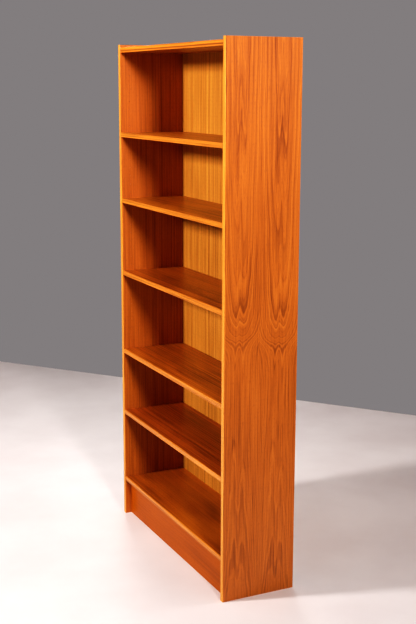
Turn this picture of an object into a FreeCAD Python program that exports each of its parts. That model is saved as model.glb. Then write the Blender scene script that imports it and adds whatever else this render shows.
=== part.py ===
import FreeCAD, Part
import os
import Sketcher
from math import radians

# A tall, shallow bookcase of veneered boards with solid lippings on the front edges.
# Two sides stand on the floor and carry a top board, a bottom board and a plinth on dowels.
# A thin back panel stands in grooves in the sides and is nailed to the top and bottom boards.
# Five loose shelves hang on bent steel wires that plug into rows of small holes in the sides
# and disappear into kerfs in the ends of the shelves. A shelf comes off straight forwards.
#
# Frame: the origin is at the middle of the footprint on the floor, +Z is up, the open front
# faces -Y, and +X is on the right of a person who looks at the front. Millimetres.

# Driving dimensions: every alias is one size that can be changed by itself.
SIZES = {
    "case_width": 920,
    "case_depth": 278,
    "case_height": 1900,
    "side_thickness": 18,
    "lipping_depth": 5,
    "arris_radius": 1,
    # Top board: its upper face lies below the tops of the sides.
    "top_thickness": 19,
    "top_drop": 10,
    "top_setback": 3,
    # Bottom board on the plinth.
    "board_thickness": 17,
    "bottom_setback": 2,
    "plinth_height": 143,
    "plinth_thickness": 17,
    "plinth_setback": 26,
    "corner_block": 20,
    # Back panel in its grooves.
    "back_thickness": 4,
    "back_inset": 10,
    "groove_depth": 6,
    # Rows of support holes in the sides, the same distance from the bottom and top boards.
    "hole_pitch": 32,
    "hole_margin": 88,
    "front_hole_setback": 37,
    "rear_hole_setback": 35,
    "hole_end_gap": 2,
    # Support wires: each is a flat staple that is a push fit in two holes.
    "wire_diameter": 3,
    "wire_leg": 10,
    "wire_standoff": 5.5,
    "wire_bend_radius": 4,
    # Loose shelves, and the kerfs in their ends.
    "shelf_thickness": 17,
    "shelf_setback": 1,
    "shelf_side_gap": 0.5,
    "shelf_back_gap": 1,
    "kerf_gap": 0.3,
    "kerf_floor_gap": 2.5,
    # Each shelf's place, as a share of the column of holes, from the lowest hole to the highest.
    "shelf_1_share": 0.125,
    "shelf_2_share": 0.29,
    "shelf_3_share": 0.5,
    "shelf_4_share": 0.69,
    "shelf_5_share": 0.855,
    # Dowels and nails.
    "dowel_diameter": 8,
    "dowel_length": 30,
    "dowel_in_side": 11,
    "dowel_end_distance": 40,
    "nail_diameter": 1.4,
    "nail_length": 18,
    "nail_head_diameter": 3.4,
    "nail_head_thickness": 0.8,
    "nail_end_distance": 52,
    "nail_columns": 8,
}
SHELF_COUNT = 5

# Places and sizes that follow from the driving dimensions, as expressions.
FRONT = "(-Sizes.case_depth / 2)"
INNER_LEFT = "(Sizes.side_thickness - Sizes.case_width / 2)"
INNER_RIGHT = "(Sizes.case_width / 2 - Sizes.side_thickness)"
INNER_WIDTH = "(Sizes.case_width - 2 * Sizes.side_thickness)"
PANEL_FRONT = f"({FRONT} + Sizes.lipping_depth)"
BACK_FACE = "(Sizes.case_depth / 2 - Sizes.back_inset - Sizes.back_thickness)"
BOTTOM_TOP = "(Sizes.plinth_height + Sizes.board_thickness)"
TOP_UNDERSIDE = "(Sizes.case_height - Sizes.top_drop - Sizes.top_thickness)"
BACK_HEIGHT = "(Sizes.case_height - Sizes.top_drop - Sizes.plinth_height)"

FIRST_HOLE = f"({BOTTOM_TOP} + Sizes.hole_margin)"
HOLE_STEPS = f"round(({TOP_UNDERSIDE} - {FIRST_HOLE} - Sizes.hole_margin) / Sizes.hole_pitch)"
FRONT_HOLE = f"({FRONT} + Sizes.front_hole_setback)"
HOLE_SPACING = f"({BACK_FACE} - Sizes.rear_hole_setback - {FRONT_HOLE})"

SHELF_LENGTH = f"({INNER_WIDTH} - 2 * Sizes.shelf_side_gap)"
SHELF_PANEL_FRONT = f"({PANEL_FRONT} + Sizes.shelf_setback)"
SHELF_PANEL_DEPTH = f"({BACK_FACE} - Sizes.shelf_back_gap - {SHELF_PANEL_FRONT})"
KERF_HEIGHT = "(Sizes.wire_diameter + 2 * Sizes.kerf_gap)"
KERF_DEPTH = ("(Sizes.wire_standoff + Sizes.wire_diameter / 2 + Sizes.kerf_floor_gap"
              " - Sizes.shelf_side_gap)")
KERF_START = (f"({FRONT_HOLE} - Sizes.wire_diameter / 2 - Sizes.kerf_gap"
              f" - {SHELF_PANEL_FRONT})")

DOWEL_IN_BOARD = "(Sizes.dowel_length - Sizes.dowel_in_side)"
NAIL_SPACING = f"(({INNER_WIDTH} - 2 * Sizes.nail_end_distance) / (Sizes.nail_columns - 1))"
NAIL_IN_BOARD = "(Sizes.nail_length - Sizes.back_thickness)"

document = FreeCAD.newDocument("Bookcase")


def make_sheet():
    """Writes the driving dimensions into the spreadsheet."""
    sheet = document.addObject("Spreadsheet::Sheet", "Sizes")
    for row, (alias, value) in enumerate(SIZES.items(), start=1):
        sheet.set(f"A{row}", alias)
        sheet.set(f"B{row}", str(value))
        sheet.setAlias(f"B{row}", alias)
    document.recompute()
    return sheet


def shelf_middle(number):
    """The height of a shelf's middle, which is the height of the holes that carry it."""
    steps = f"round(Sizes.shelf_{number}_share * {HOLE_STEPS})"
    return f"({FIRST_HOLE} + {steps} * Sizes.hole_pitch)"


# Bodies, sketches and features ---------------------------------------------------------------

def new_body(label, x, y, z):
    """An empty body with its origin at the given place."""
    body = document.addObject("PartDesign::Body", label)
    body.Label = label
    body.AllowCompound = True
    for axis, place in zip("xyz", (x, y, z)):
        body.setExpression(f"Placement.Base.{axis}", place)
    return body


def new_sketch(body, name, plane, offset=None):
    """A sketch on one of the body's origin planes, or at an offset along the plane's normal."""
    support = next(item for item in body.Origin.OriginFeatures if item.Role == plane)
    sketch = body.newObject("Sketcher::SketchObject", name)
    sketch.AttachmentSupport = [(support, "")]
    sketch.MapMode = "FlatFace"
    if offset is not None:
        sketch.setExpression("AttachmentOffset.Base.z", offset)
    return sketch


def bind(sketch, kind, references, expression):
    """Adds a dimension to a sketch and ties it to the sheet."""
    value = float(sketch.evalExpression(expression))
    index = sketch.addConstraint(Sketcher.Constraint(kind, *references, value))
    sketch.setExpression(f"Constraints[{index}]", expression)


def place_point(sketch, geometry, point, x, y):
    """Ties a point to the sketch's axes; a coordinate of None puts it on the axis."""
    if x is None:
        sketch.addConstraint(Sketcher.Constraint("PointOnObject", geometry, point, -2))
    else:
        bind(sketch, "DistanceX", (-1, 1, geometry, point), x)
    if y is None:
        sketch.addConstraint(Sketcher.Constraint("PointOnObject", geometry, point, -1))
    else:
        bind(sketch, "DistanceY", (-1, 1, geometry, point), y)


def start_value(sketch, expression):
    """The number that an expression gives now, for the first position of sketch geometry."""
    return 0.0 if expression is None else float(sketch.evalExpression(expression))


def add_rectangle(sketch, width, height, x=None, y=None):
    """A rectangle whose lower left corner is at x, y."""
    left = start_value(sketch, x)
    low = start_value(sketch, y)
    right = left + start_value(sketch, width)
    high = low + start_value(sketch, height)
    corners = [(left, low), (right, low), (right, high), (left, high)]
    points = [FreeCAD.Vector(a, b, 0) for a, b in corners]
    lines = [Part.LineSegment(points[i], points[(i + 1) % 4]) for i in range(4)]
    first = sketch.addGeometry(lines, False)[0]
    for i in range(4):
        following = first + (i + 1) % 4
        sketch.addConstraint(Sketcher.Constraint("Coincident", first + i, 2, following, 1))
    for i, direction in enumerate(("Horizontal", "Vertical", "Horizontal", "Vertical")):
        sketch.addConstraint(Sketcher.Constraint(direction, first + i))
    bind(sketch, "DistanceX", (first, 1, first, 2), width)
    bind(sketch, "DistanceY", (first + 1, 1, first + 1, 2), height)
    place_point(sketch, first, 1, x, y)


def add_circle(sketch, diameter, x=None, y=None):
    """A circle whose centre is at x, y."""
    centre = FreeCAD.Vector(start_value(sketch, x), start_value(sketch, y), 0)
    radius = start_value(sketch, diameter) / 2
    circle = Part.Circle(centre, FreeCAD.Vector(0, 0, 1), radius)
    index = sketch.addGeometry(circle, False)
    bind(sketch, "Diameter", (index,), diameter)
    place_point(sketch, index, 3, x, y)


def extrude(body, sketch, name, length, kind="Pad", flipped=False):
    """A pad that grows along the sketch's normal, or a pocket that cuts against it."""
    feature = body.newObject(f"PartDesign::{kind}", name)
    feature.Profile = sketch
    feature.Reversed = flipped
    feature.setExpression("Length", length)
    return feature


def repeat(body, features, name, sketch, axis, spacing, occurrences):
    """Repeats features in a row along an axis of the sketch."""
    pattern = body.newObject("PartDesign::LinearPattern", name)
    pattern.Originals = features
    pattern.Direction = (sketch, [axis])
    pattern.Mode = "Spacing"
    pattern.setExpression("Offset", spacing)
    pattern.setExpression("Occurrences", occurrences)
    body.Tip = pattern
    return pattern


def round_front(body, pad, along):
    """Rounds the two front edges of a lipping that run along the given axis."""
    document.recompute()
    names = []
    for number, edge in enumerate(pad.Shape.Edges, start=1):
        direction = edge.tangentAt(edge.FirstParameter)
        at_front = abs(edge.CenterOfMass.y) < 1e-6
        if at_front and abs(direction.dot(along)) > 0.999:
            names.append(f"Edge{number}")
    fillet = body.newObject("PartDesign::Fillet", "Arrises")
    fillet.Base = (pad, names)
    fillet.setExpression("Radius", "Sizes.arris_radius")


# The boards ----------------------------------------------------------------------------------

def dowel_places(depth):
    """Three places along a board's end, from the front of its lipping."""
    front = "Sizes.dowel_end_distance"
    rear = f"({depth} - Sizes.dowel_end_distance)"
    return [front, f"(({front} + {rear}) / 2)", rear]


def side(name, inner_face, outward):
    """A side panel: its body's origin is at the foot of its inner face, at the panel's front."""
    flipped = outward < 0
    body = new_body(name, inner_face, PANEL_FRONT, "0")
    outline = new_sketch(body, "Outline", "YZ_Plane")
    add_rectangle(outline, "Sizes.case_depth - Sizes.lipping_depth", "Sizes.case_height")
    extrude(body, outline, "Panel", "Sizes.side_thickness", flipped=flipped)

    groove = new_sketch(body, "GrooveOutline", "YZ_Plane")
    groove_start = f"{BACK_FACE} - {PANEL_FRONT}"
    add_rectangle(groove, "Sizes.back_thickness", "Sizes.case_height", x=groove_start)
    extrude(body, groove, "Groove", "Sizes.groove_depth", "Pocket", flipped=not flipped)

    holes = new_sketch(body, "FirstHoles", "YZ_Plane")
    front_hole = f"{FRONT_HOLE} - {PANEL_FRONT}"
    for place in (front_hole, f"{front_hole} + {HOLE_SPACING}"):
        add_circle(holes, "Sizes.wire_diameter", place, FIRST_HOLE)
    hole_depth = "Sizes.wire_leg + Sizes.hole_end_gap"
    drilled = extrude(body, holes, "HolePair", hole_depth, "Pocket", flipped=not flipped)
    repeat(body, [drilled], "HoleRows", holes, "V_Axis", "Sizes.hole_pitch", f"{HOLE_STEPS} + 1")

    sockets = new_sketch(body, "DowelSockets", "YZ_Plane")
    for board in (TOP, BOTTOM):
        for place in dowel_places(board["depth"]):
            along = f"{board['front']} + {place} - {PANEL_FRONT}"
            add_circle(sockets, "Sizes.dowel_diameter", along, board["middle"])
    for height in PLINTH_DOWEL_HEIGHTS:
        along = f"{PLINTH_MIDDLE} - {PANEL_FRONT}"
        add_circle(sockets, "Sizes.dowel_diameter", along, height)
    extrude(body, sockets, "Sockets", "Sizes.dowel_in_side", "Pocket", flipped=not flipped)


def side_lipping(name, left_face):
    """The solid strip on a side's front edge, with rounded arrises."""
    body = new_body(name, left_face, FRONT, "0")
    outline = new_sketch(body, "Outline", "XY_Plane")
    add_rectangle(outline, "Sizes.side_thickness", "Sizes.lipping_depth")
    strip = extrude(body, outline, "Strip", "Sizes.case_height")
    round_front(body, strip, FreeCAD.Vector(0, 0, 1))


def board_lipping(name, left, front, low, length, thickness):
    """The solid strip on the front edge of a lying board, with rounded arrises."""
    body = new_body(name, left, front, low)
    outline = new_sketch(body, "Outline", "XY_Plane")
    add_rectangle(outline, length, "Sizes.lipping_depth")
    strip = extrude(body, outline, "Strip", thickness)
    round_front(body, strip, FreeCAD.Vector(1, 0, 0))


def cut_ends(body, name, length, depth, draw):
    """Cuts the same outline into both ends of a board; draw puts the outline in a sketch."""
    for end, offset, flipped in (("Left", None, True), ("Right", length, False)):
        sketch = new_sketch(body, f"{name}{end}Outline", "YZ_Plane", offset)
        draw(sketch)
        extrude(body, sketch, f"{name}{end}", depth, "Pocket", flipped=flipped)


def fixed_board(name, board):
    """The top or bottom board, behind its lipping, with dowel and nail holes."""
    front = f"({board['front']} + Sizes.lipping_depth)"
    panel_depth = f"({board['depth']} - Sizes.lipping_depth)"
    body = new_body(name, INNER_LEFT, front, board["low"])
    outline = new_sketch(body, "Outline", "XY_Plane")
    add_rectangle(outline, INNER_WIDTH, panel_depth)
    extrude(body, outline, "Panel", board["thickness"])

    middle = f"{board['thickness']} / 2"

    def draw_dowel_holes(sketch):
        for place in dowel_places(board["depth"]):
            add_circle(sketch, "Sizes.dowel_diameter", f"{place} - Sizes.lipping_depth", middle)

    cut_ends(body, "Dowels", INNER_WIDTH, DOWEL_IN_BOARD, draw_dowel_holes)

    nails = new_sketch(body, "FirstNailHole", "XZ_Plane", f"-{panel_depth}")
    add_circle(nails, "Sizes.nail_diameter", "Sizes.nail_end_distance", middle)
    drilled = extrude(body, nails, "NailHole", NAIL_IN_BOARD, "Pocket", flipped=True)
    repeat(body, [drilled], "NailHoles", nails, "H_Axis", NAIL_SPACING, "Sizes.nail_columns")


def plinth():
    """The recessed board under the bottom board."""
    body = new_body("plinth_board", INNER_LEFT, PLINTH_FRONT, "0")
    outline = new_sketch(body, "Outline", "XY_Plane")
    add_rectangle(outline, INNER_WIDTH, "Sizes.plinth_thickness")
    extrude(body, outline, "Panel", "Sizes.plinth_height")

    def draw_dowel_holes(sketch):
        for height in PLINTH_DOWEL_HEIGHTS:
            add_circle(sketch, "Sizes.dowel_diameter", "Sizes.plinth_thickness / 2", height)

    cut_ends(body, "Dowels", INNER_WIDTH, DOWEL_IN_BOARD, draw_dowel_holes)


def back_panel():
    """The thin back, in the grooves of both sides, with nail holes at its top and foot."""
    body = new_body("back_panel", f"{INNER_LEFT} - Sizes.groove_depth", BACK_FACE,
                    "Sizes.plinth_height")
    outline = new_sketch(body, "Outline", "XZ_Plane")
    add_rectangle(outline, f"{INNER_WIDTH} + 2 * Sizes.groove_depth", BACK_HEIGHT)
    extrude(body, outline, "Panel", "Sizes.back_thickness", flipped=True)

    nails = new_sketch(body, "FirstNailHoles", "XZ_Plane")
    along = "Sizes.groove_depth + Sizes.nail_end_distance"
    for height in NAIL_HEIGHTS:
        add_circle(nails, "Sizes.nail_diameter", along, f"{height} - Sizes.plinth_height")
    drilled = extrude(body, nails, "NailHole", "Sizes.back_thickness", "Pocket")
    repeat(body, [drilled], "NailHoles", nails, "H_Axis", NAIL_SPACING, "Sizes.nail_columns")


def shelf_board(number):
    """A loose shelf behind its lipping, with a kerf in each end that is open at the rear."""
    low = f"({shelf_middle(number)} - Sizes.shelf_thickness / 2)"
    left = f"({INNER_LEFT} + Sizes.shelf_side_gap)"
    body = new_body(f"shelf_{number}_board", left, SHELF_PANEL_FRONT, low)
    outline = new_sketch(body, "Outline", "XY_Plane")
    add_rectangle(outline, SHELF_LENGTH, SHELF_PANEL_DEPTH)
    extrude(body, outline, "Panel", "Sizes.shelf_thickness")

    def draw_kerf(sketch):
        kerf_length = f"{SHELF_PANEL_DEPTH} - {KERF_START}"
        kerf_low = f"(Sizes.shelf_thickness - {KERF_HEIGHT}) / 2"
        add_rectangle(sketch, kerf_length, KERF_HEIGHT, KERF_START, kerf_low)

    cut_ends(body, "Kerf", SHELF_LENGTH, KERF_DEPTH, draw_kerf)
    board_lipping(f"shelf_{number}_lipping", left, f"{FRONT} + Sizes.shelf_setback", low,
                  SHELF_LENGTH, "Sizes.shelf_thickness")


# Wires, dowels, nails and blocks -------------------------------------------------------------

def draw_staple(path):
    """The wire's centre line: leg, bend, long run, bend, leg. The first leg is on the axis."""
    leg = start_value(path, "Sizes.wire_leg")
    run = start_value(path, "Sizes.wire_standoff")
    bend = start_value(path, "Sizes.wire_bend_radius")
    spacing = start_value(path, HOLE_SPACING)
    up = FreeCAD.Vector(0, 0, 1)

    def point(x, y):
        return FreeCAD.Vector(x, y, 0)

    def quarter(y, start):
        circle = Part.Circle(point(run - bend, y), up, bend)
        return Part.ArcOfCircle(circle, radians(start), radians(start + 90))

    path.addGeometry([
        Part.LineSegment(point(-leg, 0), point(run - bend, 0)),
        quarter(bend, 270),
        Part.LineSegment(point(run, bend), point(run, spacing - bend)),
        quarter(spacing - bend, 0),
        Part.LineSegment(point(run - bend, spacing), point(-leg, spacing)),
    ], False)
    for piece in range(4):
        path.addConstraint(Sketcher.Constraint("Tangent", piece, 2, piece + 1, 1))
    for piece, direction in ((0, "Horizontal"), (2, "Vertical"), (4, "Horizontal")):
        path.addConstraint(Sketcher.Constraint(direction, piece))
    path.addConstraint(Sketcher.Constraint("Equal", 1, 3))
    path.addConstraint(Sketcher.Constraint("PointOnObject", 0, 1, -1))
    path.addConstraint(Sketcher.Constraint("Vertical", 0, 1, 4, 2))
    bind(path, "Radius", (1,), "Sizes.wire_bend_radius")
    bind(path, "DistanceX", (-1, 1, 2, 1), "Sizes.wire_standoff")
    bind(path, "DistanceX", (0, 1, -1, 1), "Sizes.wire_leg")
    bind(path, "DistanceY", (0, 1, 4, 2), HOLE_SPACING)


def support_wire(name, inner_face, height, turned):
    """A bent wire with its legs in two holes; turned half round, it serves the right side."""
    body = new_body(name, inner_face, FRONT_HOLE, height)
    if turned:
        body.Placement.Rotation = FreeCAD.Rotation(FreeCAD.Vector(0, 1, 0), 180)
    path = new_sketch(body, "CentreLine", "XY_Plane")
    draw_staple(path)
    section = new_sketch(body, "Section", "YZ_Plane", "-Sizes.wire_leg")
    add_circle(section, "Sizes.wire_diameter")
    pipe = body.newObject("PartDesign::AdditivePipe", "Wire")
    pipe.Profile = section
    pipe.Spine = (path, [f"Edge{number}" for number in range(1, 6)])


def dowel_group(name, places):
    """Dowels across both side joints; places are the y and z of each dowel's axis."""
    body = new_body(name, INNER_LEFT, "0", "0")
    joints = (
        ("Left", "-Sizes.dowel_in_side"),
        ("Right", f"{INNER_WIDTH} - {DOWEL_IN_BOARD}"),
    )
    for end, start in joints:
        sketch = new_sketch(body, f"{end}Outline", "YZ_Plane", start)
        for y, z in places:
            add_circle(sketch, "Sizes.dowel_diameter", y, z)
        extrude(body, sketch, f"{end}Dowels", "Sizes.dowel_length")


def back_nails():
    """Round-headed nails through the back panel into the top and bottom boards."""
    rear_face = f"({BACK_FACE} + Sizes.back_thickness)"
    body = new_body("back_nails", INNER_LEFT, rear_face, "0")
    parts = (
        ("Shank", "Sizes.nail_diameter", "Sizes.nail_length", False),
        ("Head", "Sizes.nail_head_diameter", "Sizes.nail_head_thickness", True),
    )
    features = []
    for part, diameter, length, flipped in parts:
        sketch = new_sketch(body, f"{part}Outline", "XZ_Plane")
        for height in NAIL_HEIGHTS:
            add_circle(sketch, diameter, "Sizes.nail_end_distance", height)
        features.append(extrude(body, sketch, part, length, flipped=flipped))
    repeat(body, features, "Row", sketch, "H_Axis", NAIL_SPACING, "Sizes.nail_columns")


def corner_blocks():
    """Glued blocks behind the plinth, in its corners with the sides."""
    behind_plinth = f"{PLINTH_FRONT} + Sizes.plinth_thickness"
    body = new_body("corner_blocks", INNER_LEFT, behind_plinth, "0")
    outline = new_sketch(body, "Outline", "XY_Plane")
    for left in (None, f"{INNER_WIDTH} - Sizes.corner_block"):
        add_rectangle(outline, "Sizes.corner_block", "Sizes.corner_block", x=left)
    extrude(body, outline, "Blocks", "Sizes.plinth_height")


# The assembly --------------------------------------------------------------------------------

TOP = {
    "front": f"({FRONT} + Sizes.top_setback)",
    "low": TOP_UNDERSIDE,
    "thickness": "Sizes.top_thickness",
    "middle": f"({TOP_UNDERSIDE} + Sizes.top_thickness / 2)",
}
BOTTOM = {
    "front": f"({FRONT} + Sizes.bottom_setback)",
    "low": "Sizes.plinth_height",
    "thickness": "Sizes.board_thickness",
    "middle": "(Sizes.plinth_height + Sizes.board_thickness / 2)",
}
for fixed in (TOP, BOTTOM):
    fixed["depth"] = f"({BACK_FACE} - {fixed['front']})"
NAIL_HEIGHTS = (BOTTOM["middle"], TOP["middle"])

PLINTH_FRONT = f"({FRONT} + Sizes.plinth_setback)"
PLINTH_MIDDLE = f"({PLINTH_FRONT} + Sizes.plinth_thickness / 2)"
PLINTH_DOWEL_HEIGHTS = (
    "Sizes.dowel_end_distance",
    "(Sizes.plinth_height - Sizes.dowel_end_distance)",
)

make_sheet()
side("left_side_panel", INNER_LEFT, -1)
side("right_side_panel", INNER_RIGHT, 1)
side_lipping("left_side_lipping", "-Sizes.case_width / 2")
side_lipping("right_side_lipping", INNER_RIGHT)
for name, fixed in (("top_board", TOP), ("bottom_board", BOTTOM)):
    fixed_board(name, fixed)
    board_lipping(f"{name}_lipping", INNER_LEFT, fixed["front"], fixed["low"],
                  INNER_WIDTH, fixed["thickness"])
plinth()
back_panel()
for number in range(1, SHELF_COUNT + 1):
    shelf_board(number)
    support_wire(f"shelf_{number}_wire_left", INNER_LEFT, shelf_middle(number), False)
    support_wire(f"shelf_{number}_wire_right", INNER_RIGHT, shelf_middle(number), True)
for name, fixed in (("top_dowels", TOP), ("bottom_dowels", BOTTOM)):
    across = [f"{fixed['front']} + {place}" for place in dowel_places(fixed["depth"])]
    dowel_group(name, [(place, fixed["middle"]) for place in across])
dowel_group("plinth_dowels", [(PLINTH_MIDDLE, height) for height in PLINTH_DOWEL_HEIGHTS])
back_nails()
corner_blocks()
document.recompute()

# Checks: nothing has failed, every cut removes material, and every sub-part is sound.
for item in document.Objects:
    if "Invalid" in item.State or "Error" in item.State:
        raise RuntimeError(f"{item.Label} did not compute")
    if item.TypeId == "PartDesign::Pocket":
        if item.Shape.Volume >= item.BaseFeature.Shape.Volume:
            raise RuntimeError(f"{item.Label} cuts nothing")
bodies = [item for item in document.Objects if item.TypeId == "PartDesign::Body"]
for body in bodies:
    if body.Shape.isNull() or not body.Shape.isValid():
        raise RuntimeError(f"{body.Label} has no sound shape")

os.makedirs("parts", exist_ok=True)
for body in bodies:
    body.Shape.exportStep(f"parts/{body.Label}.step")
    solids = len(body.Shape.Solids)
    print(f"{body.Label}: {solids} solid(s), {body.Shape.Volume / 1000:.1f} cm3")
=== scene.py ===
import bpy
import math
from mathutils import Matrix, Vector


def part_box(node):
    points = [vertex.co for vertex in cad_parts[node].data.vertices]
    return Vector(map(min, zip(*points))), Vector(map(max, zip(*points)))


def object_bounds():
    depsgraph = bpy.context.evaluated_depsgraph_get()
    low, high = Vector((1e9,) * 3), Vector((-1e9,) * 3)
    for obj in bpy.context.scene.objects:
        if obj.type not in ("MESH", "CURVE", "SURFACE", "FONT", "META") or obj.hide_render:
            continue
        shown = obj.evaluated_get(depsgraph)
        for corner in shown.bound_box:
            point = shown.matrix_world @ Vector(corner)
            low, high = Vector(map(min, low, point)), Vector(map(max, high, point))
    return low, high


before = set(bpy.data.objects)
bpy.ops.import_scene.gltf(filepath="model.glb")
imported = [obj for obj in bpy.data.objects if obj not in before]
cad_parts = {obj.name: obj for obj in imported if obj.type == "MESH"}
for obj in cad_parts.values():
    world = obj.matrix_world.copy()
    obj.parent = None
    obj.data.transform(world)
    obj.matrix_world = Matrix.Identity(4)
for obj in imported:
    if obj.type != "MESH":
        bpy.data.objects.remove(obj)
cad_low, cad_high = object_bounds()

# A teak bookcase. Every visible piece is a CAD node: this script gives each one its finish.
# Metres, in the row frame: +Z up, the open front faces -Y, the floor is z = 0.

# Camera, lights and floor ---------------------------------------------------------------------

CAMERA_PLACE = Vector((3.5995, -1.7196, 1.7436))
CAMERA_AZIMUTH = 64.14
CAMERA_ELEVATION = 11.58
CAMERA_ROLL = 0.16
CAMERA_LENS = 63.4

FLOOR_EDGE = Vector((-2.13, 0.936, 0.0))
FLOOR_TURN = 38.8
FLOOR_SIZE = 14.0
MOTTLE_SCALE = 2.5


def linear(red, green, blue):
    """A colour given as 0 to 255 on a screen, as the linear values that a shader takes."""
    def one(level):
        value = level / 255
        return value / 12.92 if value <= 0.04045 else ((value + 0.055) / 1.055) ** 2.4
    return (one(red), one(green), one(blue), 1.0)


# A camera's contrast curve: (light in the scene, light in the picture).
CAMERA_CONTRAST = [
    (0.0, 0.0), (0.02, 0.004), (0.04, 0.011), (0.08, 0.031), (0.12, 0.060), (0.18, 0.108),
    (0.25, 0.175), (0.32, 0.25), (0.45, 0.415), (0.62, 0.62), (0.8, 0.81), (1.0, 1.0),
]
SURROUND_COLOUR = linear(148, 144, 145)
SURROUND_FILL = 0.3
WARM_WHITE = (1.0, 0.95, 0.90)
SOFT_WHITE = (1.0, 0.96, 0.93)

# name: (place, target, size, power in watts, colour, width of the beam in degrees)
LIGHTS = {
    "front_light": ((-0.55, -3.53, 2.6), (0, 0, 0.9), (0.4, 0.55), 182, WARM_WHITE, 180),
    "right_light": ((6.0, -0.9, 2.85), (0, 0, 2.15), (0.6, 0.8), 48, WARM_WHITE, 58),
    "sheen_light": ((4.9, 2.7, 2.5), (0.46, 0, 1.7), (1.4, 1.6), 15, SOFT_WHITE, 180),
    "top_light": ((0.9, -0.9, 5.0), (0.5, -0.5, 0), (4, 4), 80, SOFT_WHITE, 180),
    "back_light": ((1.4, 4.4, 2.4), (0, 0, 1.3), (2, 2), 15, SOFT_WHITE, 60),
    "left_light": ((-4.6, 1.5, 2.2), (0, 0, 1.3), (2, 2), 17, SOFT_WHITE, 60),
}


def make_camera():
    """A camera that looks down a little at the open front and the right side."""
    azimuth, elevation = math.radians(CAMERA_AZIMUTH), math.radians(CAMERA_ELEVATION)
    data = bpy.data.cameras.new("camera")
    data.lens = CAMERA_LENS
    camera = bpy.data.objects.new("camera", data)
    bpy.context.scene.collection.objects.link(camera)
    forward = Vector((-math.sin(azimuth) * math.cos(elevation),
                      math.cos(azimuth) * math.cos(elevation),
                      -math.sin(elevation)))
    turn = forward.to_track_quat("-Z", "Y").to_matrix().to_4x4()
    roll = Matrix.Rotation(math.radians(CAMERA_ROLL), 4, "Z")
    camera.matrix_world = Matrix.Translation(CAMERA_PLACE) @ turn @ roll
    bpy.context.scene.camera = camera


def make_light(name, place, target, size, power, colour, spread):
    """A soft rectangular light turned towards a target."""
    data = bpy.data.lights.new(name, "AREA")
    data.shape = "RECTANGLE"
    data.size, data.size_y = size
    data.energy = power
    data.color = colour
    data.spread = math.radians(spread)
    light = bpy.data.objects.new(name, data)
    bpy.context.scene.collection.objects.link(light)
    light.location = place
    light.rotation_mode = "QUATERNION"
    light.rotation_quaternion = (Vector(target) - Vector(place)).to_track_quat("-Z", "Y")


def make_surround():
    """A grey surround that the camera sees. It lights the object with a share of that grey."""
    world = bpy.data.worlds.new("studio")
    world.use_nodes = True
    tree = world.node_tree
    seen = tree.nodes["Background"]
    seen.inputs["Color"].default_value = SURROUND_COLOUR
    fill = tree.nodes.new("ShaderNodeBackground")
    fill.inputs["Color"].default_value = SURROUND_COLOUR
    fill.inputs["Strength"].default_value = SURROUND_FILL
    path = tree.nodes.new("ShaderNodeLightPath")
    choose = tree.nodes.new("ShaderNodeMixShader")
    tree.links.new(path.outputs["Is Camera Ray"], choose.inputs[0])
    tree.links.new(fill.outputs[0], choose.inputs[1])
    tree.links.new(seen.outputs[0], choose.inputs[2])
    tree.links.new(choose.outputs[0], tree.nodes["World Output"].inputs["Surface"])
    return world


def make_studio():
    """A pale floor with a straight far edge, a grey surround and six soft lights."""
    scene = bpy.context.scene
    view = scene.view_settings
    view.view_transform = "Standard"
    view.use_curve_mapping = True
    contrast = view.curve_mapping.curves[3]
    for place in CAMERA_CONTRAST[1:-1]:
        contrast.points.new(*place)
    view.curve_mapping.update()
    scene.world = make_surround()

    mesh = bpy.data.meshes.new("floor")
    half = FLOOR_SIZE / 2
    corners = [(-half, -FLOOR_SIZE, 0), (half, -FLOOR_SIZE, 0), (half, 0, 0), (-half, 0, 0)]
    mesh.from_pydata(corners, [], [(0, 1, 2, 3)])
    floor = bpy.data.objects.new("floor", mesh)
    floor.matrix_world = (Matrix.Translation(FLOOR_EDGE)
                          @ Matrix.Rotation(math.radians(FLOOR_TURN), 4, "Z"))
    scene.collection.objects.link(floor)
    paint = Material("studio_floor")
    mottle = paint.noise(paint.times(paint.x, MOTTLE_SCALE), paint.times(paint.y, MOTTLE_SCALE),
                         0.0, detail=6.0)
    paint.set("Base Color", paint.ramp(mottle, [
        (0.35, linear(222, 213, 214)), (0.65, linear(231, 223, 224)),
    ]))
    paint.set("Roughness", 0.55)
    mesh.materials.append(paint.material)

    for name, setup in LIGHTS.items():
        make_light(name, *setup)


# Shader building ------------------------------------------------------------------------------

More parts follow.
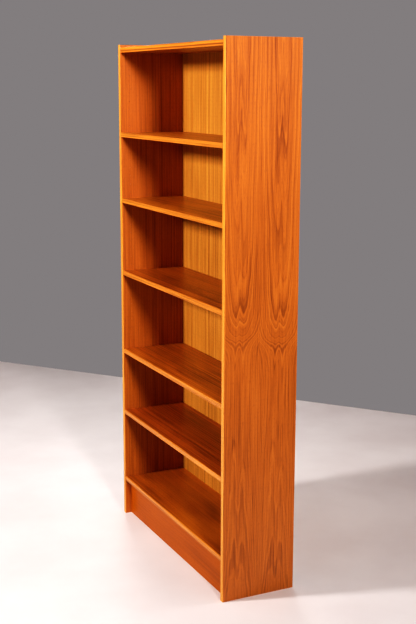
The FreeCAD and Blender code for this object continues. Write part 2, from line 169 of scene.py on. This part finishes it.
class Material:
    """A node material, built one named step at a time."""

    def __init__(self, name):
        self.material = bpy.data.materials.new(name)
        self.material.use_nodes = True
        self.tree = self.material.node_tree
        self.shader = self.tree.nodes["Principled BSDF"]
        coordinates = self.tree.nodes.new("ShaderNodeTexCoord")
        split = self.node("ShaderNodeSeparateXYZ", coordinates.outputs["Object"])
        self.x, self.y, self.z = split.outputs

    def node(self, kind, *values, **settings):
        """A node with its settings, and its inputs linked or set in order."""
        node = self.tree.nodes.new(kind)
        for key, value in settings.items():
            setattr(node, key, value)
        for socket, value in zip(node.inputs, values):
            self.feed(socket, value)
        return node

    def feed(self, socket, value):
        """Links a socket to another node's output, or sets its value."""
        if isinstance(value, bpy.types.NodeSocket):
            self.tree.links.new(value, socket)
        elif value is not None:
            socket.default_value = value

    def set(self, name, value):
        """Sets or links one input of the surface shader."""
        self.feed(self.shader.inputs[name], value)

    def math(self, operation, *values):
        return self.node("ShaderNodeMath", *values, operation=operation).outputs[0]

    def add(self, a, b):
        return self.math("ADD", a, b)

    def times(self, a, b):
        return self.math("MULTIPLY", a, b)

    def point(self, x, y, z):
        return self.node("ShaderNodeCombineXYZ", x, y, z).outputs[0]

    def noise(self, x, y, z, detail=2.0, roughness=0.5):
        """Noise from 0 to 1 at a point whose coordinates are already scaled."""
        node = self.node("ShaderNodeTexNoise")
        self.feed(node.inputs["Vector"], self.point(x, y, z))
        node.inputs["Scale"].default_value = 1.0
        node.inputs["Detail"].default_value = detail
        node.inputs["Roughness"].default_value = roughness
        return node.outputs[0]

    def cells(self, across, along, per_metre, seed, detail=2.0, roughness=0.5):
        """Noise drawn out along the grain. per_metre counts its cells (across, along) the grain."""
        x, y = self.times(across, per_metre[0]), self.times(along, per_metre[1])
        return self.noise(x, y, seed, detail, roughness)

    def lines(self, position, detail=2.0, roughness=0.5):
        """Noise from 0 to 1 along one coordinate: bands of uneven width and depth."""
        node = self.node("ShaderNodeTexNoise", noise_dimensions="1D")
        self.feed(node.inputs["W"], position)
        node.inputs["Scale"].default_value = 1.0
        node.inputs["Detail"].default_value = detail
        node.inputs["Roughness"].default_value = roughness
        return node.outputs[0]

    def spread(self, value, low, high, new_low=0.0, new_high=1.0):
        """Maps a range smoothly onto another. Values outside it take its ends."""
        node = self.node("ShaderNodeMapRange", value, low, high, new_low, new_high,
                         interpolation_type="SMOOTHSTEP")
        return node.outputs[0]

    def ramp(self, value, stops):
        """A colour for each value; stops are (position, colour) pairs."""
        node = self.node("ShaderNodeValToRGB", value)
        elements = node.color_ramp.elements
        while len(elements) < len(stops):
            elements.new(0.5)
        for element, (position, colour) in zip(elements, stops):
            element.position = position
            element.color = colour
        return node.outputs[0]

    def mix(self, factor, first, second, blend="MIX"):
        """A mix of two colours."""
        node = self.node("ShaderNodeMix", data_type="RGBA", blend_type=blend)
        self.feed(node.inputs[0], factor)
        self.feed(node.inputs[6], first)
        self.feed(node.inputs[7], second)
        return node.outputs[2]

    def blend(self, factor, first, second):
        """A mix of two numbers."""
        return self.node("ShaderNodeMix", factor, None, first, second).outputs[0]

    def curve(self, value, points):
        """A smooth curve through a few points, each (input, output) from 0 to 1."""
        node = self.node("ShaderNodeFloatCurve", 1.0, value)
        line = node.mapping.curves[0]
        for place in points[1:-1]:
            line.points.new(*place)
        line.points[0].location = points[0]
        line.points[-1].location = points[-1]
        node.mapping.update()
        return node.outputs[0]


# Wood -----------------------------------------------------------------------------------------

# How the dark lines and the light streaks of a wood differ from its middle colour.
DARK_SHARE = (0.36, 0.26, 0.22, 1.0)
LIGHT_SHARE = (1.30, 1.50, 1.80, 1.0)


def tones(red, green, blue):
    """The dark, middle and light tones of a wood whose middle colour is given, 0 to 255."""
    middle = linear(red, green, blue)
    dark = tuple(value * share for value, share in zip(middle, DARK_SHARE))
    light = tuple(value * share for value, share in zip(middle, LIGHT_SHARE))
    return {"dark": dark, "mid": middle, "light": light}


SIDE_TEAK = tones(184, 105, 37)
TOP_TEAK = tones(172, 96, 28)
BOTTOM_TEAK = tones(166, 88, 23)
# The shelves from the lowest up: their colours get darker towards the lowest shelf, painted shade.
SHELF_TEAK = [
    tones(158, 77, 20), tones(170, 92, 25), tones(168, 90, 25), tones(182, 106, 30),
    tones(188, 112, 34),
]
PLINTH_TEAK = tones(173, 91, 10)
BACK_TEAK = tones(203, 141, 60)
UPRIGHT_LIPPING_TEAK = tones(222, 150, 60)
SHELF_LIPPING_TEAK = tones(206, 130, 46)
TOP_LIPPING_TEAK = tones(206, 126, 40)
BEECH = tones(212, 174, 134)
PINE = tones(226, 188, 130)

# The width of a stripe in metres, for each kind of piece.
BOARD_STRIPE = 0.012
VENEER_STRIPE = 0.008
PLINTH_STRIPE = 0.02
LIPPING_STRIPE = 0.003
DOWEL_STRIPE = 0.003
BLOCK_STRIPE = 0.005

# Height of the dark growth line on the top lipping's front, as a share of the lipping's height.
TOP_LINE_SHARE = 0.36


def look(contrast=1.2, veins=0.7, patches=0.4, gloss=0.4):
    """How strongly a wood's stripes, dark veins and broad patches show, and how it shines."""
    return {"contrast": contrast, "veins": veins, "patches": patches, "gloss": gloss}


SIDE_LOOK = look(contrast=1.5, veins=1.0)
SHELF_LOOK = look(contrast=1.7, veins=1.15, patches=1.1)
PLINTH_LOOK = look(contrast=0.45, veins=0.2, patches=0.5, gloss=0.12)
BOTTOM_LOOK = look(contrast=0.9, veins=0.5, patches=2.0)
BACK_LOOK = look(contrast=1.5, veins=1.3)
LIPPING_LOOK = look(contrast=2.0, veins=0.8)
HIDDEN_LOOK = look()


# How far the stripes of ribbon figure wander to the side, in metres.
RIBBON_WANDER = 0.022


def straight_figure(m, across, along, seed, band):
    """Ribbon figure along the grain: a tone and thin dark veins. band is a stripe's width."""
    wander = m.cells(across, along, (4.0, 0.9), seed)
    bent = m.add(across, m.times(wander, RIBBON_WANDER))
    broad = m.lines(m.add(m.times(bent, 0.45 / band), seed), detail=2.0, roughness=0.6)
    fine = m.lines(m.add(m.times(bent, 2.2 / band), seed * 3.1), detail=2.0, roughness=0.6)
    line = m.lines(m.add(m.times(bent, 1.8 / band), seed * 1.7), detail=1.0)
    broken = m.cells(across, along, (260, 5), seed + 9)
    vein = m.times(m.spread(line, 0.42, 0.33), m.spread(broken, 0.35, 0.55, 0.45, 1.0))
    return m.blend(0.55, broad, fine), vein


# The outer side veneer is cut flat, in leaves laid side by side from a little before the front
# edge. Each leaf nearly repeats the one before it, a little lower.
LEAF_WIDTH = 0.150
LEAF_START = -0.018
LEAF_SLIP = 0.020

# Distance from the board's face to the heart of the tree, along the outer side veneer:
# (height, distance), as shares of PITH_TOP and PITH_DEEP.
PITH_TOP = 1.9
PITH_DEEP = 0.12
CROWN_PROFILE = [
    (0.0, 0.72), (0.12, 0.80), (0.27, 0.855), (0.43, 0.868), (0.465, 0.845),
    (0.50, 0.66), (0.56, 0.53), (0.72, 0.43), (1.0, 0.30),
]

# How strongly the dark lines show along the same height: (height as a share, strength).
CROWN_STRENGTH = [
    (0.0, 0.85), (0.15, 0.65), (0.30, 0.40), (0.40, 0.35), (0.455, 0.85), (0.50, 1.0),
    (0.62, 0.80), (1.0, 0.70),
]

# How far the growth rings are out of round, in metres: to the side, in depth, and in a notch
# down each leaf's middle, whose half width is about 1 / NOTCH_NARROWNESS.
RING_WOBBLE = 0.028
RING_RIPPLE = 0.006
NOTCH_DEPTH = 0.005
NOTCH_NARROWNESS = 110

# Noise cells per metre, outwards through the growth rings.
BROAD_RINGS = 75
FINE_RINGS = 330
DARK_RINGS = 190


def crown_figure(m, across, along, seed):
    """Flat-cut figure: the veneer's face cuts growth rings, which gives nested arches."""
    from_start = m.math("SUBTRACT", across, LEAF_START)
    leaf = m.math("FLOOR", m.math("DIVIDE", from_start, LEAF_WIDTH))
    local = m.math("SUBTRACT", from_start, m.times(m.add(leaf, 0.5), LEAF_WIDTH))
    height = m.add(along, m.times(leaf, LEAF_SLIP))
    height_share = m.math("DIVIDE", height, PITH_TOP)
    leaf_seed = m.add(m.times(leaf, 0.12), seed)

    wobble = m.cells(local, height, (18, 2.2), leaf_seed, detail=3.0)
    ripple = m.cells(local, height, (50, 9), leaf_seed)
    sideways = m.add(local, m.times(m.add(wobble, -0.5), RING_WOBBLE))
    smooth_depth = m.times(m.curve(height_share, CROWN_PROFILE), PITH_DEEP)
    off_middle = m.math("POWER", m.times(local, NOTCH_NARROWNESS), 2.0)
    notch = m.times(m.math("EXPONENT", m.times(off_middle, -1.0)), NOTCH_DEPTH)
    depth = m.add(m.add(smooth_depth, notch), m.times(m.add(ripple, -0.5), RING_RIPPLE))
    ring = m.math("SQRT", m.add(m.math("POWER", sideways, 2.0), m.math("POWER", depth, 2.0)))

    broad = m.lines(m.add(m.times(ring, BROAD_RINGS), seed), detail=2.0, roughness=0.6)
    fine = m.lines(m.add(m.times(ring, FINE_RINGS), seed), detail=2.0, roughness=0.6)
    dark_ring = m.lines(m.add(m.times(ring, DARK_RINGS), seed * 1.7), detail=1.0)
    fleck = m.spread(m.cells(sideways, height, (70, 11), seed + 11), 0.72, 0.80)
    broken = m.spread(m.lines(m.times(sideways, 420), detail=1.0), 0.38, 0.56, 0.35, 1.0)
    strength = m.curve(height_share, CROWN_STRENGTH)
    dark = m.math("MAXIMUM", m.spread(dark_ring, 0.47, 0.34), fleck)
    return m.blend(0.5, broad, fine), m.times(dark, m.times(broken, strength))


def wood_detail(m, across, along, through, seed):
    """Fibres, pores, broad patches and streaks that lie on top of the figure."""
    place = m.add(across, through)
    streak = m.cells(place, along, (230, 2.2), seed + 5, detail=3.0, roughness=0.7)
    fibre = m.cells(place, along, (900, 16), seed, detail=3.0, roughness=0.6)
    pore = m.cells(place, along, (1500, 70), seed + 7, detail=1.0)
    patch = m.cells(place, along, (7, 2.2), seed + 3)
    return fibre, m.spread(pore, 0.60, 0.72), patch, streak


# A board's worn edge, in metres: fully worn up to the first, not worn beyond the second.
WORN_EDGE = 0.0012
WORN_LIMIT = 0.0035


def edge_closeness(m, node):
    """1 on the edges of a board, 0 a few millimetres away from them."""
    low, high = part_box(node)
    gaps = []
    for value, near, far in zip((m.x, m.y, m.z), low, high):
        gaps.append(m.math("MINIMUM", m.add(value, -near), m.math("SUBTRACT", far, value)))
    # The second smallest of the three gaps is about the distance from the nearest edge.
    nearer = m.math("MINIMUM", gaps[0], gaps[1])
    further = m.math("MAXIMUM", gaps[0], gaps[1])
    second = m.math("MAXIMUM", nearer, m.math("MINIMUM", further, gaps[2]))
    uneven = m.noise(m.times(m.x, 60), m.times(m.y, 60), m.times(m.z, 60), detail=3.0)
    return m.spread(m.add(second, m.times(uneven, 0.003)), WORN_LIMIT, WORN_EDGE)


# How strongly each kind of detail shows in the colour.
STREAK_SHARE = 0.85
FIBRE_SHARE = 0.35
PORE_SHARE = 0.5
WORN_SHARE = 0.45


def finish_wood(m, figure, detail, palette, style, worn=None):
    """Colours the figure and gives it a rubbed, slightly open-grained surface."""
    tone, vein = figure
    fibre, pore, patch, streak = detail
    stripes = m.add(m.add(tone, -0.5), m.times(m.add(streak, -0.5), STREAK_SHARE))
    shade = m.add(m.times(stripes, style["contrast"]), 0.5)
    shade = m.add(shade, m.times(m.add(patch, -0.5), style["patches"]))
    shade = m.add(shade, m.times(m.add(fibre, -0.5), FIBRE_SHARE))
    colour = m.ramp(shade, [
        (0.0, palette["dark"]), (0.5, palette["mid"]), (1.0, palette["light"]),
    ])
    strength = m.spread(patch, 0.65, 0.35, 0.30 * style["veins"], 0.75 * style["veins"])
    colour = m.mix(m.times(vein, strength), colour, palette["dark"])
    colour = m.mix(m.times(pore, PORE_SHARE), colour, palette["dark"])
    rough = m.add(m.add(m.times(fibre, 0.12), m.times(pore, 0.20)), 0.28)
    if worn is not None:
        colour = m.mix(m.times(worn, WORN_SHARE), colour, palette["light"])
        rough = m.math("SUBTRACT", rough, m.times(worn, 0.08))
    m.set("Base Color", colour)
    m.set("Roughness", rough)
    m.set("Specular IOR Level", style["gloss"])
    relief = m.math("SUBTRACT", m.times(fibre, 0.25), pore)
    bump = m.node("ShaderNodeBump")
    bump.inputs["Strength"].default_value = 0.35
    bump.inputs["Distance"].default_value = 0.0002
    m.feed(bump.inputs["Height"], relief)
    m.set("Normal", bump.outputs[0])


def board_material(name, seed, grain, palette, style, band, node=None):
    """A board with plain ribbon figure. grain names its axes: across, along and through."""
    m = Material(name)
    across, along, through = (getattr(m, axis) for axis in grain)
    figure = straight_figure(m, across, along, seed, band)
    detail = wood_detail(m, across, along, through, seed)
    worn = edge_closeness(m, node) if node else None
    finish_wood(m, figure, detail, palette, style, worn)
    return m.material


def lipping_material(name, seed, grain, palette, side_palette=None, growth_line=None):
    """Solid teak lipping. With side_palette, only its front has the palette's colour, and its other
    faces match the side panels: the front is painted lighter than the rest, painted light.
    growth_line is the height of one dark line along it."""
    m = Material(name)
    across, along, through = (getattr(m, axis) for axis in grain)
    figure = straight_figure(m, across, along, seed, LIPPING_STRIPE)
    detail = wood_detail(m, across, along, through, seed)
    finish_wood(m, figure, detail, palette, LIPPING_LOOK)
    if side_palette:
        # Painted light: the front face keeps the lighter colour, and the faces behind it are
        # painted darker in the side panels' colour.
        behind = m.spread(m.add(m.y, -cad_low[1]), 0.0004, 0.0012)
        lit_front_colour = m.shader.inputs["Base Color"].links[0].from_socket
        share = [side / front for side, front in zip(side_palette["mid"], palette["mid"])]
        m.set("Base Color", m.mix(behind, lit_front_colour, m.mix(1.0, lit_front_colour, share, "MULTIPLY")))
    if growth_line:
        wander = m.times(m.add(m.noise(m.times(m.x, 6), 0.0, 0.0), -0.5), 0.002)
        away = m.math("ABSOLUTE", m.add(m.add(m.z, wander), -growth_line))
        line = m.spread(away, 0.0026, 0.0008, 0.0, 0.8)
        plain = m.shader.inputs["Base Color"].links[0].from_socket
        m.set("Base Color", m.mix(line, plain, palette["dark"]))
    return m.material


def side_material(name, seed, outer, node):
    """A side panel: flat-cut figure outside, ribbon figure inside. outer is +1 on the right side
    and -1 on the left."""
    m = Material(name)
    panel_low, panel_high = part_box("right_side_panel")
    middle = (panel_low[0] + panel_high[0]) / 2
    from_front = m.math("SUBTRACT", m.y, cad_low[1])
    crown = crown_figure(m, from_front, m.z, seed)
    tone, vein = straight_figure(m, m.y, m.z, seed + 5, VENEER_STRIPE)
    ribbon = (m.blend(0.4, tone, 0.5), m.times(vein, 0.5))
    outside = m.math("GREATER_THAN", m.times(m.x, outer), middle)
    figure = [m.blend(outside, inside, flat_cut) for inside, flat_cut in zip(ribbon, crown)]
    detail = wood_detail(m, m.y, m.z, m.x, seed)
    finish_wood(m, figure, detail, SIDE_TEAK, SIDE_LOOK, edge_closeness(m, node))
    return m.material


def steel_material(name):
    """Drawn steel with fine lines along its length."""
    m = Material(name)
    m.set("Metallic", 1.0)
    scratch = m.noise(m.times(m.x, 900), m.times(m.y, 30), m.times(m.z, 900), detail=2.0)
    m.set("Base Color", m.ramp(scratch, [
        (0.3, linear(150, 148, 144)), (0.7, linear(205, 204, 200)),
    ]))
    m.set("Roughness", m.spread(scratch, 0.2, 0.8, 0.22, 0.42))
    return m.material


def dress(node, material):
    """Gives every slot of a CAD node one material."""
    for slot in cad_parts[node].material_slots:
        slot.link = "OBJECT"
        slot.material = material


def dress_all():
    """Gives every node its finish. Each number with a decimal point is a noise seed."""
    steel = steel_material("drawn_steel")
    dress("right_side_panel", side_material("teak_right_side", 2.0, 1, "right_side_panel"))
    dress("left_side_panel", side_material("teak_left_side", 9.0, -1, "left_side_panel"))
    plinth = board_material("teak_plinth", 21.0, "zxy", PLINTH_TEAK, PLINTH_LOOK, PLINTH_STRIPE)
    dress("plinth_board", plinth)
    back = board_material("teak_back", 25.0, "xzy", BACK_TEAK, BACK_LOOK, VENEER_STRIPE)
    dress("back_panel", back)
    boards = {"bottom_board": BOTTOM_TEAK, "top_board": TOP_TEAK}
    for number, palette in enumerate(SHELF_TEAK, start=1):
        boards[f"shelf_{number}_board"] = palette
    for number, (node, palette) in enumerate(boards.items()):
        seed = 30.0 + 4 * number
        style = BOTTOM_LOOK if node == "bottom_board" else SHELF_LOOK
        board = board_material(f"teak_{node}", seed, "yxz", palette, style, BOARD_STRIPE, node)
        dress(node, board)
    upright = lipping_material("teak_lipping_upright", 61.0, "xzy", UPRIGHT_LIPPING_TEAK, SIDE_TEAK)
    level = lipping_material("teak_lipping_level", 67.0, "zxy", SHELF_LIPPING_TEAK)
    lipping_low, lipping_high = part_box("top_board_lipping")
    line_height = lipping_low[2] + TOP_LINE_SHARE * (lipping_high[2] - lipping_low[2])
    top = lipping_material("teak_lipping_top", 73.0, "zxy", TOP_LIPPING_TEAK, None, line_height)
    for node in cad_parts:
        if node.endswith("side_lipping"):
            dress(node, upright)
        elif node == "top_board_lipping":
            dress(node, top)
        elif node.endswith("lipping"):
            dress(node, level)
        elif "_wire_" in node or node == "back_nails":
            dress(node, steel)
        elif node.endswith("dowels"):
            beech = board_material(f"beech_{node}", 71.0, "yxz", BEECH, HIDDEN_LOOK, DOWEL_STRIPE)
            dress(node, beech)
    pine = board_material("pine_blocks", 77.0, "xzy", PINE, HIDDEN_LOOK, BLOCK_STRIPE)
    dress("corner_blocks", pine)


make_camera()
make_studio()
dress_all()
